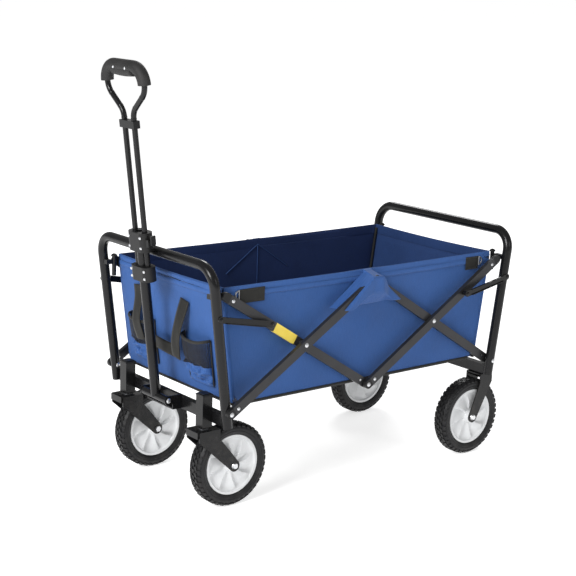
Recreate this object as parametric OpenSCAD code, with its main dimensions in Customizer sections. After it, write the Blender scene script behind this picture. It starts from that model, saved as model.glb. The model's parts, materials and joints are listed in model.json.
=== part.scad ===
// Folding camp wagon: two leaning end frames joined by a double scissor on each side,
// swivelling front casters, fixed rear wheels, a telescoping pull handle and a cloth basket.
// +X points to the rear, +Z up. The origin is on the ground, midway between the end frames.

/* [Fold] */
// Distance from the middle of the wagon to each lower bar pivot when open
pivot_reach = 390; // [360:5:440]
// Height of the lower bar pivots above the ground
pivot_height = 236; // [232:1:250]
// Angle of the side bars above level when open
open_angle = 32; // [30:0.5:34]
// Angle of the side bars above level when folded
folded_angle = 76; // [70:1:77]
// How far up the upright the corner link is bolted, from the lower pivot
link_bolt_height = 206; // [190:1:215]

/* [End frames] */
// Height of the top rail's centre line
rail_height = 546; // [530:1:600]
// Half of the distance between the front uprights
front_half_width = 216; // [205:1:260]
// Outward lean of the uprights
frame_lean = 7.5; // [6:0.5:9]
// Outer diameter of the frame tube
tube_d = 22; // [20:0.5:23]
// Wall of the frame tube
tube_wall = 1.5; // [1:0.1:2]
// Bend radius of the top corners
bend_r = 45; // [35:1:60]
// Length of upright below the lower bar pivot
upright_tail = 36; // [30:1:36]
// Height of the lower crossbars' section
crossbar_h = 25; // [20:1:25]
// Depth of the lower crossbars' section
crossbar_depth = 16; // [12:1:18]

/* [Side bars] */
// Width of the flat side bars
bar_w = 20; // [16:1:22]
// Thickness of the flat side bars
bar_t = 10; // [8:0.5:12]
// Wall of the side bars
bar_wall = 1.2; // [0.8:0.1:1.6]
// Gap between neighbouring bars and tubes
bar_gap = 0.5; // [0.4:0.1:1]
// Diameter of the pivot rivets
pivot_d = 7; // [6:0.5:8]
// Radial running clearance of a pivot
pivot_clear = 0.05; // [0.03:0.01:0.1]
// Width of the corner links
link_w = 14; // [12:1:16]
// Thickness of the corner links
link_t = 2; // [1.5:0.5:2.5]

/* [Wheels] */
// Radius of the tyres
wheel_r = 93.5; // [85:0.5:96]
// Width of the tyres
tyre_w = 38; // [30:1:40]
// Radius of the wheel rims
rim_r = 67; // [60:1:72]
// Half of the distance between the front wheels' middles
front_half_track = 150; // [130:1:150]
// Half of the distance between the rear wheels' middles
rear_half_track = 193; // [190:1:200]
// Distance of the front axle behind its swivel axis
caster_trail = 67; // [55:1:70]
// Distance of the rear axle in front of the rear lower pivots
rear_axle_inset = 35; // [25:1:50]
// Diameter of the wheel axles
axle_d = 8; // [7:0.5:10]
// Thickness of the fork plates
fork_t = 3; // [2:0.5:3]

/* [Handle] */
// Distance of the handle's pivot in front of the front lower pivots
handle_offset = 31; // [30:1:40]
// Height of the handle's pivot above the ground
handle_pivot_height = 222; // [220:1:230]
// Forward lean of the stowed handle
handle_lean = 7; // [6.5:0.5:9]
// Outer diameter of the handle's main tube
handle_d = 22; // [20:1:24]
// Outer diameter of the two slide rods
rod_d = 12; // [10:1:13]
// Length of the main tube above its pivot
handle_tube_l = 372; // [350:1:420]
// Distance along the handle from the pivot to the bottom of the pull loop
neck_l = 592; // [580:1:700]
// Half of the pull loop's widest part
loop_half_w = 70; // [64:1:80]
// Diameter of the grip
grip_d = 27; // [24:1:30]

/* [Basket] */
// Height of the basket's top edge
basket_top = 498; // [490:1:510]
// Height of the basket's floor
basket_floor = 243; // [240:1:260]
// Gap between an upright's centre line and the basket's end panel
panel_offset = 30; // [28:1:36]
// Thickness of the cloth solids
cloth_t = 2.5; // [2:0.5:3]

/* [Hidden] */
$fn = 48;

steel_black = "#1b1c1e";
steel_grey = "#4a4c50";
plastic_black = "#151515";
rivet_silver = "#d4d6d8";
cloth_blue = "#33558f";
webbing_black = "#2a2a24";

// Rounds a length to a hundredth of a millimetre
function hundredth(v) = round(100 * v) / 100;

near = -1;
far = 1;
front = -1;
rear = 1;

tube_r = tube_d / 2;
// Middle planes of the side bars, as distances from the wagon's centre plane
outer_bar_y = front_half_width + tube_r + bar_gap + bar_t / 2;
rear_half_width = front_half_width + bar_t + 3 * bar_gap;
inner_bar_y = rear_half_width - tube_r - bar_gap - bar_t / 2;
middle_bar_y = inner_bar_y + bar_t + bar_gap;
// Half of a side bar's pivot-to-pivot length, and the pivots' places
half_bar = pivot_reach / (2 * cos(open_angle));
cross_x = half_bar * cos(open_angle);
cross_z = pivot_height + half_bar * sin(open_angle);
hub_z = pivot_height + 2 * half_bar * sin(open_angle);
bar_overhang = 15;
plug_exposed = bar_w / 2 + 0.4;
plug_seat = 28;
plug_clear = 0.15;
rivet_head_t = 2.5;
rivet_head_d = 11;
small_rivet_d = 5;
small_rivet_head_d = 8;
plug_rivet_in = 20;

// The link's bolt lies on the upright. The link's rivet lies on the falling bar where the
// link has the same length open and folded.
bolt_out = link_bolt_height * sin(frame_lean);
bolt_up = link_bolt_height * cos(frame_lean);
cos_change = cos(open_angle) - cos(folded_angle);
sin_change = sin(open_angle) - sin(folded_angle);
double_change = cos(2 * open_angle) - cos(2 * folded_angle);
link_share = (-bolt_out * cos_change + bolt_up * sin_change)
  / (-bolt_out * cos_change - bolt_up * sin_change - half_bar * double_change);
link_rivet_s = half_bar * (1 + link_share);
link_rivet_x = link_rivet_s * cos(open_angle);
link_rivet_z = pivot_height + link_rivet_s * sin(open_angle);
link_bolt_x = pivot_reach + bolt_out;
link_bolt_z = pivot_height + bolt_up;

rail_up = hundredth((rail_height - pivot_height) / cos(frame_lean));
crossbar_z = pivot_height - bar_w / 2 - 2.5 - crossbar_h / 2;
front_crossbar_x = -pivot_reach + 12;
rear_crossbar_x = pivot_reach - 2;
caster_post_w = 25;
weld_gap = 0.2;
caster_x = front_crossbar_x - crossbar_depth / 2 - weld_gap - caster_post_w / 2;
crown_top = 184;
stem_d = 12;
washer_t = 3;
post_bottom = crown_top + washer_t;
post_top = 258;
fork_gap = 2;
fork_inner = tyre_w / 2 + fork_gap;
front_axle_x = caster_x + caster_trail;
rear_axle_x = pivot_reach - rear_axle_inset;

handle_x = -pivot_reach - handle_offset;
bracket_half_w = 50;

bracket_t = 3;
rod_y = handle_d / 2 + rod_d / 2 + 1;
block_h = 42;
slide_block_h = 32;
slide_block_w0 = 265;
block_clear = 0.1;
pin_clear = 0.05;

corner_post_d = 10;
corner_post_y = inner_bar_y - bar_t / 2 - 10;
corner_post_out = 14;
corner_post_top = basket_top - 2;
corner_post_l = 44;
basket_half_w = inner_bar_y - bar_t / 2 - rivet_head_t - 1.8;

// Horizontal distance of an upright's centre line from the lower pivot, at height z
function lean_at(z) = (z - pivot_height) * tan(frame_lean);
function panel_x(z) = pivot_reach + lean_at(z) - panel_offset;

// Puts the middle of the whole wagon, from grip to rear tyre, at the origin
module centred() {
  translate([mid_x, 0, 0])
    children();
}

// Places children in the plane of an end frame, with the lower pivots at height 0
module in_frame(end) {
  translate([end * pivot_reach, 0, pivot_height])
    rotate([0, end * frame_lean, 0])
      children();
}

// A round bar along Y from y0 to y1
module along_y(d, y0, y1) {
  translate([0, y0, 0])
    rotate([-90, 0, 0])
      cylinder(d = d, h = y1 - y0);
}

// A round bar along X from x0 to x1
module along_x(d, x0, x1) {
  translate([x0, 0, 0])
    rotate([0, 90, 0])
      cylinder(d = d, h = x1 - x0);
}

// A box given by its low corner and its high corner
module box(low, high) {
  translate(low)
    cube(high - low);
}

// Puts children at the near and the far side, mirrored
module both_sides() {
  for (side = [near, far])
    scale([1, side, 1])
      children();
}

// A quarter of a ring of round tube in the YZ plane, from the +Y direction up to +Z
module quarter_ring(r, d) {
  rotate([90, 0, 90])
    rotate_extrude(angle = 90)
      translate([r, 0])
        circle(d = d);
}

/* ---- end frames ---- */

module frame_path(half_w, d, tail) {
  straight = half_w - bend_r;
  for (side = [near, far])
    translate([0, side * half_w, -tail])
      cylinder(d = d, h = rail_up - bend_r + tail);
  translate([0, straight, rail_up - bend_r])
    quarter_ring(bend_r, d);
  translate([0, -straight, rail_up - bend_r])
    mirror([0, 1, 0])
      quarter_ring(bend_r, d);
  translate([0, 0, rail_up])
    along_y(d, -straight, straight);
}

module end_frame(end, half_w) {
  color(steel_black) centred()
    in_frame(end)
      difference() {
        frame_path(half_w, tube_d, upright_tail);
        frame_path(half_w, tube_d - 2 * tube_wall, upright_tail + 1);
        along_y(pivot_d + 2 * pin_clear, -half_w - tube_d, -half_w + tube_d);
        along_y(pivot_d + 2 * pin_clear, half_w - tube_d, half_w + tube_d);
      }
}

module front_frame() {
  end_frame(front, front_half_width);
}

module rear_frame() {
  end_frame(rear, rear_half_width);
}

// A square-section crossbar, coped where it meets the round uprights
module crossbar(end, x, half_w) {
  half_h = crossbar_h / 2;
  half_d = crossbar_depth / 2;
  color(steel_black) centred()
    difference() {
      box([x - half_d, -half_w, crossbar_z - half_h], [x + half_d, half_w, crossbar_z + half_h]);
      box([x - half_d + tube_wall, -half_w - 1, crossbar_z - half_h + tube_wall],
          [x + half_d - tube_wall, half_w + 1, crossbar_z + half_h - tube_wall]);
      in_frame(end)
        for (side = [near, far])
          translate([0, side * half_w, -2 * upright_tail])
            cylinder(d = tube_d + 2 * weld_gap, h = 3 * upright_tail);
    }
}

module front_crossbar() {
  crossbar(front, front_crossbar_x, front_half_width);
}

module rear_crossbar() {
  crossbar(rear, rear_crossbar_x, rear_half_width);
}

// Short arm and hanging post that hold a basket corner
module corner_posts(end, half_w) {
  color(steel_black) centred()
    both_sides() {
      z = corner_post_top - 12;
      x0 = pivot_reach + lean_at(z);
      x1 = corner_post_x;
      scale([end, 1, 1])
        translate([0, corner_post_y, 0]) {
          translate([x1, 0, corner_post_top - corner_post_l])
            cylinder(d = corner_post_d, h = corner_post_l);
          difference() {
            box([x1, -3, z - 5], [x0 + 6, 3, z + 5]);
            translate([x1, 0, z - 6])
              cylinder(d = corner_post_d - 1, h = 12);
          }
        }
      difference() {
        scale([end, 1, 1])
          box([x0 - 6, corner_post_y + 2, z - 5], [x0 + 6, half_w, z + 5]);
        in_frame(end)
          translate([0, half_w, 0])
            cylinder(d = tube_d + 2 * weld_gap, h = rail_up);
      }
    }
}

module front_corner_posts() {
  corner_posts(front, front_half_width);
}

module rear_corner_posts() {
  corner_posts(rear, rear_half_width);
}

module corner_caps(end) {
  both_sides()
    translate([end * corner_post_x, corner_post_y, corner_post_top + weld_gap])
      rotate_extrude()
        intersection() {
          translate([0, -2])
            circle(r = 8);
          square([7.5, 6]);
        }
}

module front_caps() {
  color(plastic_black) centred() {
    corner_caps(front);
    both_sides()
      translate([caster_x, front_half_track, post_top + weld_gap]) {
        half = caster_post_w / 2;
        box([-half - 1, -half - 1, 0], [half + 1, half + 1, 3]);
        box([-half + 2, -half + 2, 3], [half - 2, half - 2, 5]);
      }
  }
}

module rear_caps() {
  color(plastic_black) centred()
    corner_caps(rear);
}

// A rivet along Y from y0 to y1, with a domed head at the ends asked for: 0 inner, 1 outer
module rivet(d, head_d, y0, y1, heads = [0, 1]) {
  along_y(d, y0, y1);
  for (end = heads)
    translate([0, end == 1 ? y1 : y0, 0])
      rotate([end == 1 ? -90 : 90, 0, 0])
        rotate_extrude()
          intersection() {
            translate([0, rivet_head_t - head_d * 0.6])
              circle(r = head_d * 0.6);
            square([head_d / 2, rivet_head_t]);
          }
}

// The rivets that the scissor turns on, carried by each end frame
module front_frame_pins() {
  color(rivet_silver) centred()
    both_sides()
      translate([-pivot_reach, 0, pivot_height])
        rivet(pivot_d, rivet_head_d, front_half_width - tube_r - bar_gap,
              outer_bar_y + bar_t / 2 + bar_gap);
}

module rear_frame_pins() {
  color(rivet_silver) centred()
    both_sides()
      translate([pivot_reach, 0, pivot_height])
        rivet(pivot_d, rivet_head_d, inner_bar_y - bar_t / 2 - bar_gap,
              rear_half_width + tube_r + bar_gap);
}

/* ---- side bars ---- */

// Places children on a side bar's own axis: end is the end frame the bar starts at or
// leans on, foot is its low pivot, and +X of the children runs up the bar
module on_bar(x, slope) {
  translate([x, 0, pivot_height])
    rotate([0, -slope, 0])
      children();
}

// Outline of a flat bar seen from the side, as a solid of thickness t about y = mid
module flat(x0, x1, w, t, mid) {
  box([x0, mid - t / 2, -w / 2], [x1, mid + t / 2, w / 2]);
}

// Hollow bar with its three pivot holes; s0 and s1 are the ends of the tube
module bar_tube(s0, s1, mid, holes) {
  difference() {
    flat(s0, s1, bar_w, bar_t, mid);
    flat(s0 - 1, s1 + 1, bar_w - 2 * bar_wall, bar_t - 2 * bar_wall, mid);
    for (hole = holes)
      translate([hole[0], 0, 0])
        along_y(hole[1], mid - bar_t, mid + bar_t);
  }
}

// Round-ended plastic plug in the end of a bar; dir is +1 where the plug points up the bar
module bar_plug(s, dir, mid, bore) {
  core_w = bar_w - 2 * bar_wall - 2 * plug_clear;
  core_t = bar_t - 2 * bar_wall - 2 * plug_clear;
  tube_end = s - dir * plug_exposed;
  difference() {
    union() {
      translate([s, 0, 0])
        along_y(bar_w, mid - bar_t / 2, mid + bar_t / 2);
      flat(min(s, tube_end + dir * plug_clear), max(s, tube_end + dir * plug_clear),
           bar_w, bar_t, mid);
      flat(min(tube_end - dir * plug_seat, s), max(tube_end - dir * plug_seat, s),
           core_w, core_t, mid);
    }
    translate([s, 0, 0])
      along_y(bore, mid - bar_t, mid + bar_t);
    translate([s - dir * plug_rivet_in, 0, 0])
      along_y(small_rivet_d + 2 * pin_clear, mid - bar_t, mid + bar_t);
  }
}

running_bore = pivot_d + 2 * pivot_clear;
open_bore = pivot_d + 0.6;
rivet_bore = small_rivet_d + 2 * pin_clear;
bar_length = 2 * half_bar;
free_end = bar_length + bar_overhang - bar_w / 2;

// Pivoted bars run from pivot to pivot; the rivet of each plug is plug_rivet_in from it
pivoted_holes = [
  [plug_rivet_in, rivet_bore],
  [half_bar, running_bore],
  [bar_length - plug_rivet_in, rivet_bore]
];
free_ended_holes = [
  [plug_rivet_in, rivet_bore],
  [half_bar, running_bore],
  [free_end - plug_rivet_in, rivet_bore]
];

module small_rivets(mid, places, heads = [0, 1]) {
  for (s = places)
    translate([s, 0, 0])
      rivet(small_rivet_d, small_rivet_head_d, mid - bar_t / 2, mid + bar_t / 2, heads);
}

// Front bars that rise from the front pivots to the upper hub
module on_front_rising() {
  both_sides()
    on_bar(-pivot_reach, open_angle)
      children();
}

module front_rising_bars() {
  color(steel_grey) centred()
    on_front_rising()
      bar_tube(plug_exposed, bar_length - plug_exposed, outer_bar_y, pivoted_holes);
}

module front_rising_plugs() {
  color(plastic_black) centred()
    on_front_rising() {
      bar_plug(0, -1, outer_bar_y, running_bore);
      bar_plug(bar_length, 1, outer_bar_y, running_bore);
    }
}

module front_rising_pins() {
  spacer_d = 12;
  color(rivet_silver) centred()
    on_front_rising() {
      // Flush on the side that folds flat against the end frame
      small_rivets(outer_bar_y, [plug_rivet_in], [1]);
      small_rivets(outer_bar_y, [bar_length - plug_rivet_in]);
      for (s = [half_bar, bar_length])
        translate([s, 0, 0]) {
          rivet(pivot_d, rivet_head_d, inner_bar_y - bar_t / 2 - bar_gap / 2,
                outer_bar_y + bar_t / 2);
          along_y(spacer_d, inner_bar_y + bar_t / 2 + bar_gap / 2, outer_bar_y - bar_t / 2);
        }
    }
}

// Front bars that fall from the front corners to the lower hub
module on_front_falling() {
  both_sides()
    on_bar(0, 180 - open_angle)
      children();
}

module front_falling_bars() {
  color(steel_grey) centred()
    on_front_falling()
      bar_tube(plug_exposed, free_end - plug_exposed, inner_bar_y, free_ended_holes);
}

module front_falling_plugs() {
  color(plastic_black) centred()
    on_front_falling() {
      bar_plug(0, -1, inner_bar_y, open_bore);
      bar_plug(free_end, 1, inner_bar_y, 0.01);
    }
}

front_link_y = front_half_width + tube_r + bar_gap;
rear_link_y = rear_half_width + tube_r + bar_gap;

module front_falling_pins() {
  color(rivet_silver) centred()
    on_front_falling() {
      // Flush where the two bars of the lower hub pass each other
      small_rivets(inner_bar_y, [plug_rivet_in], [0]);
      small_rivets(inner_bar_y, [free_end - plug_rivet_in]);
    }
}

// Plain yellow sleeve round each front falling bar
module warning_bands() {
  band_from = half_bar + 18;
  band_to = link_rivet_s - 22;
  band_t = 0.3;
  color("#efe28a") centred()
    on_front_falling()
      difference() {
        flat(band_from, band_to, bar_w + 2 * band_t, bar_t + 2 * band_t, inner_bar_y);
        flat(band_from - 1, band_to + 1, bar_w + 0.06, bar_t + 0.06, inner_bar_y);
      }
}

// Rear bars that fall from the upper hub to the rear pivots
module on_rear_falling() {
  both_sides()
    on_bar(pivot_reach, 180 - open_angle)
      children();
}

module rear_falling_bars() {
  color(steel_grey) centred()
    on_rear_falling()
      bar_tube(plug_exposed, bar_length - plug_exposed, inner_bar_y, pivoted_holes);
}

module rear_falling_plugs() {
  color(plastic_black) centred()
    on_rear_falling() {
      bar_plug(0, -1, inner_bar_y, running_bore);
      bar_plug(bar_length, 1, inner_bar_y, running_bore);
    }
}

module rear_falling_pins() {
  color(rivet_silver) centred()
    on_rear_falling() {
      small_rivets(inner_bar_y, [plug_rivet_in], [0]);
      small_rivets(inner_bar_y, [bar_length - plug_rivet_in]);
      translate([half_bar, 0, 0])
        rivet(pivot_d, rivet_head_d, inner_bar_y - bar_t / 2,
              middle_bar_y + bar_t / 2 + bar_gap / 2);
    }
}

// Rear bars that rise from the lower hub to the rear corners
module on_rear_rising() {
  both_sides()
    on_bar(0, open_angle)
      children();
}

module rear_rising_bars() {
  color(steel_grey) centred()
    on_rear_rising()
      bar_tube(plug_exposed, free_end - plug_exposed, middle_bar_y, free_ended_holes);
}

module rear_rising_plugs() {
  color(plastic_black) centred()
    on_rear_rising() {
      bar_plug(0, -1, middle_bar_y, running_bore);
      bar_plug(free_end, 1, middle_bar_y, 0.01);
    }
}

module rear_rising_pins() {
  color(rivet_silver) centred()
    on_rear_rising() {
      small_rivets(middle_bar_y, [plug_rivet_in], [1]);
      small_rivets(middle_bar_y, [free_end - plug_rivet_in]);
      rivet(pivot_d, rivet_head_d, inner_bar_y - bar_t / 2 - bar_gap / 2,
            middle_bar_y + bar_t / 2);
    }
}

// Domed head on the outer face of a plate at y
module outer_head(y) {
  translate([0, y, 0])
    rotate([-90, 0, 0])
      rotate_extrude()
        intersection() {
          translate([0, rivet_head_t - rivet_head_d * 0.6])
            circle(r = rivet_head_d * 0.6);
          square([rivet_head_d / 2, rivet_head_t]);
        }
}

// Pressed strap with raised edges. Its stub stops short of the bar that it follows, and
// its other end has the head of the bolt in the upright.
module corner_link(end, link_y, bar_y) {
  dx = link_bolt_x - link_rivet_x;
  dz = link_bolt_z - link_rivet_z;
  length = norm([dx, dz]);
  rise = atan2(dz, dx);
  lip_t = 1.5;
  lip_h = 3;
  stub_gap = 0.4;
  both_sides()
    scale([end, 1, 1])
      translate([link_rivet_x, 0, link_rivet_z])
        rotate([0, -rise, 0]) {
          along_y(link_w, link_y, link_y + link_t);
          translate([length, 0, 0])
            along_y(link_w, link_y, link_y + link_t);
          box([0, link_y, -link_w / 2], [length, link_y + link_t, link_w / 2]);
          for (edge = [-link_w / 2, link_w / 2 - lip_t])
            box([link_w, link_y, edge],
                [length - link_w, link_y + link_t + lip_h, edge + lip_t]);
          along_y(rivet_head_d - 1, bar_y + bar_t / 2 + stub_gap, link_y + link_t);
          outer_head(link_y + link_t);
          translate([length, 0, 0])
            outer_head(link_y + link_t);
        }
}

module front_links() {
  color(steel_black) centred()
    corner_link(front, front_link_y, inner_bar_y);
}

module rear_links() {
  color(steel_black) centred()
    corner_link(rear, rear_link_y, middle_bar_y);
}

/* ---- casters, forks and wheels ---- */

module caster_posts() {
  half = caster_post_w / 2;
  color(steel_black) centred()
    both_sides()
      translate([caster_x, front_half_track, 0])
        difference() {
          box([-half, -half, post_bottom], [half, half, post_top]);
          translate([0, 0, post_bottom - 1])
            cylinder(d = stem_d + 2 * pin_clear, h = post_top - post_bottom - 8);
        }
}

// Side plate of a fork: it narrows from the crown down to the axle's eye
module fork_plate(top_z, crown_x0, crown_x1, axle_x, y0) {
  eye_r = 13;
  slope = atan2(top_z - wheel_r, (crown_x0 + crown_x1) / 2 - axle_x);
  nx = eye_r * sin(slope);
  nz = eye_r * cos(slope);
  translate([0, y0 + fork_t, 0])
    rotate([90, 0, 0])
      linear_extrude(fork_t)
        difference() {
          union() {
            translate([axle_x, wheel_r])
              circle(r = eye_r);
            polygon([
              [axle_x - nx, wheel_r + nz],
              [axle_x + nx, wheel_r - nz],
              [crown_x1, top_z - 22],
              [crown_x1, top_z],
              [crown_x0, top_z],
              [crown_x0, top_z - 22]
            ]);
          }
          translate([axle_x, wheel_r])
            circle(r = axle_d / 2 + pin_clear);
        }
}

module caster_fork(side) {
  x0 = caster_x - 27;
  x1 = caster_x + 27;
  color(steel_black) centred()
    translate([0, side * front_half_track, 0]) {
      for (y0 = [-fork_inner - fork_t, fork_inner])
        difference() {
          fork_plate(crown_top, x0, x1, front_axle_x, y0);
          box([x0 - 1, -fork_inner - fork_t - 1, crown_top - 0.01],
              [x1 + 1, fork_inner + fork_t + 1, crown_top + 1]);
        }
      difference() {
        box([x0 - 4, -fork_inner, crown_top - fork_t], [x1, fork_inner, crown_top]);
        translate([caster_x, 0, crown_top - fork_t - 1])
          cylinder(d = stem_d - 2, h = fork_t + 2);
      }
      box([x0 - 4, -fork_inner, crown_top - 14], [x0 - 1, fork_inner, crown_top - fork_t]);
    }
}

module caster_fork_near() {
  caster_fork(near);
}

module caster_fork_far() {
  caster_fork(far);
}

// Swivel stem with its washer between the fork's crown and the post
module caster_stem(side) {
  color(steel_grey) centred()
    translate([caster_x, side * front_half_track, 0]) {
      translate([0, 0, crown_top])
        cylinder(d = stem_d, h = post_top - crown_top - 14);
      translate([0, 0, crown_top])
        cylinder(d = caster_post_w - 2, h = washer_t - 0.3);
      translate([0, 0, crown_top - fork_t])
        cylinder(d = stem_d - 2 - 2 * pin_clear, h = fork_t + 1);
    }
}

module caster_stem_near() {
  caster_stem(near);
}

module caster_stem_far() {
  caster_stem(far);
}

module rear_fork(side) {
  top = crossbar_z - crossbar_h / 2 - weld_gap;
  x0 = rear_crossbar_x - 14;
  x1 = rear_crossbar_x + 26;
  color(steel_black) centred()
    translate([0, side * rear_half_track, 0]) {
      for (y0 = [-fork_inner - fork_t, fork_inner])
        fork_plate(top, x0, x1, rear_axle_x, y0);
      box([x0, -fork_inner, top - fork_t], [x1, fork_inner, top]);
      box([x1 - fork_t, -fork_inner, top - 22], [x1, fork_inner, top - fork_t]);
    }
}

module rear_fork_near() {
  rear_fork(near);
}

module rear_fork_far() {
  rear_fork(far);
}

// Axle bolt with a round head outside and a hexagonal nut inside
module axle(x, y, side) {
  reach = fork_inner + fork_t;
  translate([x, y, wheel_r])
    scale([1, side, 1]) {
      along_y(axle_d, -reach - 4, reach + 2);
      translate([0, reach + 0.1, 0])
        rotate([-90, 0, 0])
          cylinder(d1 = 15, d2 = 11, h = 4);
      translate([0, -reach - 4.6, 0])
        rotate([-90, 0, 0])
          cylinder(d = 14, h = 4.5, $fn = 6);
    }
}

module front_axle_near() {
  color(rivet_silver) centred()
    axle(front_axle_x, near * front_half_track, near);
}

module front_axle_far() {
  color(rivet_silver) centred()
    axle(front_axle_x, far * front_half_track, far);
}

module rear_axles() {
  color(rivet_silver) centred()
    for (side = [near, far])
      axle(rear_axle_x, side * rear_half_track, side);
}

// White moulded rim: hub, dished web with ribs, and the band that the tyre sits on
module rim(x, y) {
  hub_r = 15;
  hub_half = fork_inner - 0.5;
  web_half = 5;
  band_half = tyre_w / 2 - 4;
  ribs = 8;
  color("#f2f2f0") centred()
    translate([x, y, wheel_r])
      rotate([90, 0, 0])
        difference() {
          union() {
            rotate_extrude($fn = 72)
              polygon([
                [0, -hub_half], [hub_r - 3, -hub_half], [hub_r, -hub_half + 3],
                [hub_r, -web_half - 3], [rim_r - 8, -web_half], [rim_r - 5, -band_half],
                [rim_r, -band_half], [rim_r, band_half], [rim_r - 5, band_half],
                [rim_r - 8, web_half], [hub_r, web_half + 3], [hub_r, hub_half - 3],
                [hub_r - 3, hub_half], [0, hub_half]
              ]);
            for (i = [0 : ribs - 1])
              rotate([0, 0, i * 360 / ribs])
                box([hub_r - 1, -1.5, -web_half - 7], [rim_r - 5, 1.5, web_half + 7]);
          }
          translate([0, 0, -hub_half - 1])
            cylinder(d = axle_d + 2 * pivot_clear, h = 2 * hub_half + 2);
        }
}

module front_rim_near() {
  rim(front_axle_x, near * front_half_track);
}

module front_rim_far() {
  rim(front_axle_x, far * front_half_track);
}

module rear_rim_near() {
  rim(rear_axle_x, near * rear_half_track);
}

module rear_rim_far() {
  rim(rear_axle_x, far * rear_half_track);
}

// Solid tyre with rounded shoulders and three grooves round the tread
module tyre(x, y) {
  half = tyre_w / 2;
  shoulder = 9;
  groove = 2;
  groove_w = 2.5;
  color("#1a1a1b") centred()
    translate([x, y, wheel_r])
      rotate([90, 0, 0])
        rotate_extrude($fn = 96)
          difference() {
            union() {
              translate([rim_r + 0.1, -half])
                square([wheel_r - rim_r - shoulder, tyre_w]);
              translate([rim_r + 0.1, -half + shoulder])
                square([wheel_r - rim_r - 0.1, tyre_w - 2 * shoulder]);
              for (y1 = [-half + shoulder, half - shoulder])
                translate([wheel_r - shoulder, y1])
                  circle(r = shoulder);
            }
            for (y1 = [-9, 0, 9])
              translate([wheel_r - groove, y1 - groove_w / 2])
                square([groove + 1, groove_w]);
          }
}

module front_tyre_near() {
  tyre(front_axle_x, near * front_half_track);
}

module front_tyre_far() {
  tyre(front_axle_x, far * front_half_track);
}

module rear_tyre_near() {
  tyre(rear_axle_x, near * rear_half_track);
}

module rear_tyre_far() {
  tyre(rear_axle_x, far * rear_half_track);
}

/* ---- handle ---- */

// Places children on the handle's axis, with the pivot at height 0
module on_handle() {
  translate([handle_x, 0, handle_pivot_height])
    rotate([0, -handle_lean, 0])
      children();
}

// Channel on the front crossbar, with a cheek at each end for the handle's pivot
module handle_bracket() {
  face = front_crossbar_x - crossbar_depth / 2 - weld_gap;
  low = crossbar_z - crossbar_h / 2 + 2;
  high = handle_pivot_height + 8;
  color(steel_black) centred()
    difference() {
      union() {
        box([face - bracket_t, -bracket_half_w, low], [face, bracket_half_w, high]);
        box([face - 24, -bracket_half_w, low], [face, bracket_half_w, low + bracket_t]);
        for (y0 = [-bracket_half_w, bracket_half_w - bracket_t]) {
          box([handle_x, y0, handle_pivot_height - 10], [face, y0 + bracket_t, handle_pivot_height + 10]);
          box([face - 24, y0, low], [face, y0 + bracket_t, handle_pivot_height]);
          translate([handle_x, 0, handle_pivot_height])
            along_y(20, y0, y0 + bracket_t);
        }
      }
      translate([handle_x, 0, handle_pivot_height])
        along_y(axle_d + 2 * pin_clear, -bracket_half_w - 1, bracket_half_w + 1);
    }
}

module handle_pivot_bolt() {
  color(rivet_silver) centred()
    translate([handle_x, 0, handle_pivot_height])
      rivet(axle_d, 13, -bracket_half_w - 0.1, bracket_half_w + 0.1);
}

sleeve_half = bracket_half_w - bracket_t - 1;

// Main tube standing on a cross sleeve that turns on the pivot bolt
module handle_tube() {
  color(steel_black) centred()
    on_handle()
      difference() {
        union() {
          cylinder(d = handle_d, h = handle_tube_l);
          along_y(18, -sleeve_half, sleeve_half);
        }
        translate([0, 0, 12])
          cylinder(d = handle_d - 2 * tube_wall, h = handle_tube_l);
        along_y(axle_d + 2 * pivot_clear, -sleeve_half - 1, sleeve_half + 1);
      }
}

// Block with rounded ends seen from above, bored for the main tube and the two rods
module handle_block(h, tube_bore, rod_bore, half_w, depth) {
  difference() {
    union() {
      box([-depth / 2, -half_w + depth / 2, 0], [depth / 2, half_w - depth / 2, h]);
      for (side = [near, far])
        translate([0, side * (half_w - depth / 2), 0])
          cylinder(d = depth, h = h);
    }
    translate([0, 0, -1])
      cylinder(d = tube_bore, h = h + 2);
    for (side = [near, far])
      translate([0, side * rod_y, -1])
        cylinder(d = rod_bore, h = h + 2);
  }
}

block_half_w = rod_y + rod_d / 2 + 9;
lever_out = 5;
lever_up = 22;
lever_pin_d = 4;
block_depth = handle_d + 10;

// Fixed block at the top of the main tube, which the rods slide through
module handle_top_block() {
  color(plastic_black) centred()
    on_handle()
      translate([0, 0, handle_tube_l - block_h])
        difference() {
          union() {
            handle_block(block_h, handle_d + 2 * block_clear, rod_d + 2 * pivot_clear,
                         block_half_w, block_depth);
            for (x0 = [-9, 6])
              box([x0, -block_half_w - lever_out - 4, lever_up - 8],
                  [x0 + 3, -block_half_w + 4, lever_up + 8]);
          }
          translate([0, -block_half_w - lever_out, lever_up])
            along_x(lever_pin_d + 2 * pivot_clear, -12, 12);
        }
}

// Release lever hinged between two ears on the near side of the top block
module handle_lever() {
  color(plastic_black) centred()
    on_handle()
      translate([0, -block_half_w - lever_out, handle_tube_l - block_h + lever_up]) {
        along_x(lever_pin_d, -9, 9);
        along_x(8, -5.7, 5.7);
        box([-5.7, -12, -3], [5.7, 0, 3]);
        box([-5.7, -12, -3], [5.7, -8, 17]);
      }
}

// Block fixed to the rods' lower ends, which slides on the main tube
module handle_slide_block() {
  color(plastic_black) centred()
    on_handle()
      translate([0, 0, slide_block_w0])
        handle_block(slide_block_h, handle_d + 2 * pivot_clear, rod_d + 2 * block_clear,
                     block_half_w, block_depth);
}

loop_spread = 50;
neck_bend_r = 30;
loop_bend_r = 34;
neck_h = 16;
loop_bend_w = neck_l + neck_h + 4;
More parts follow.
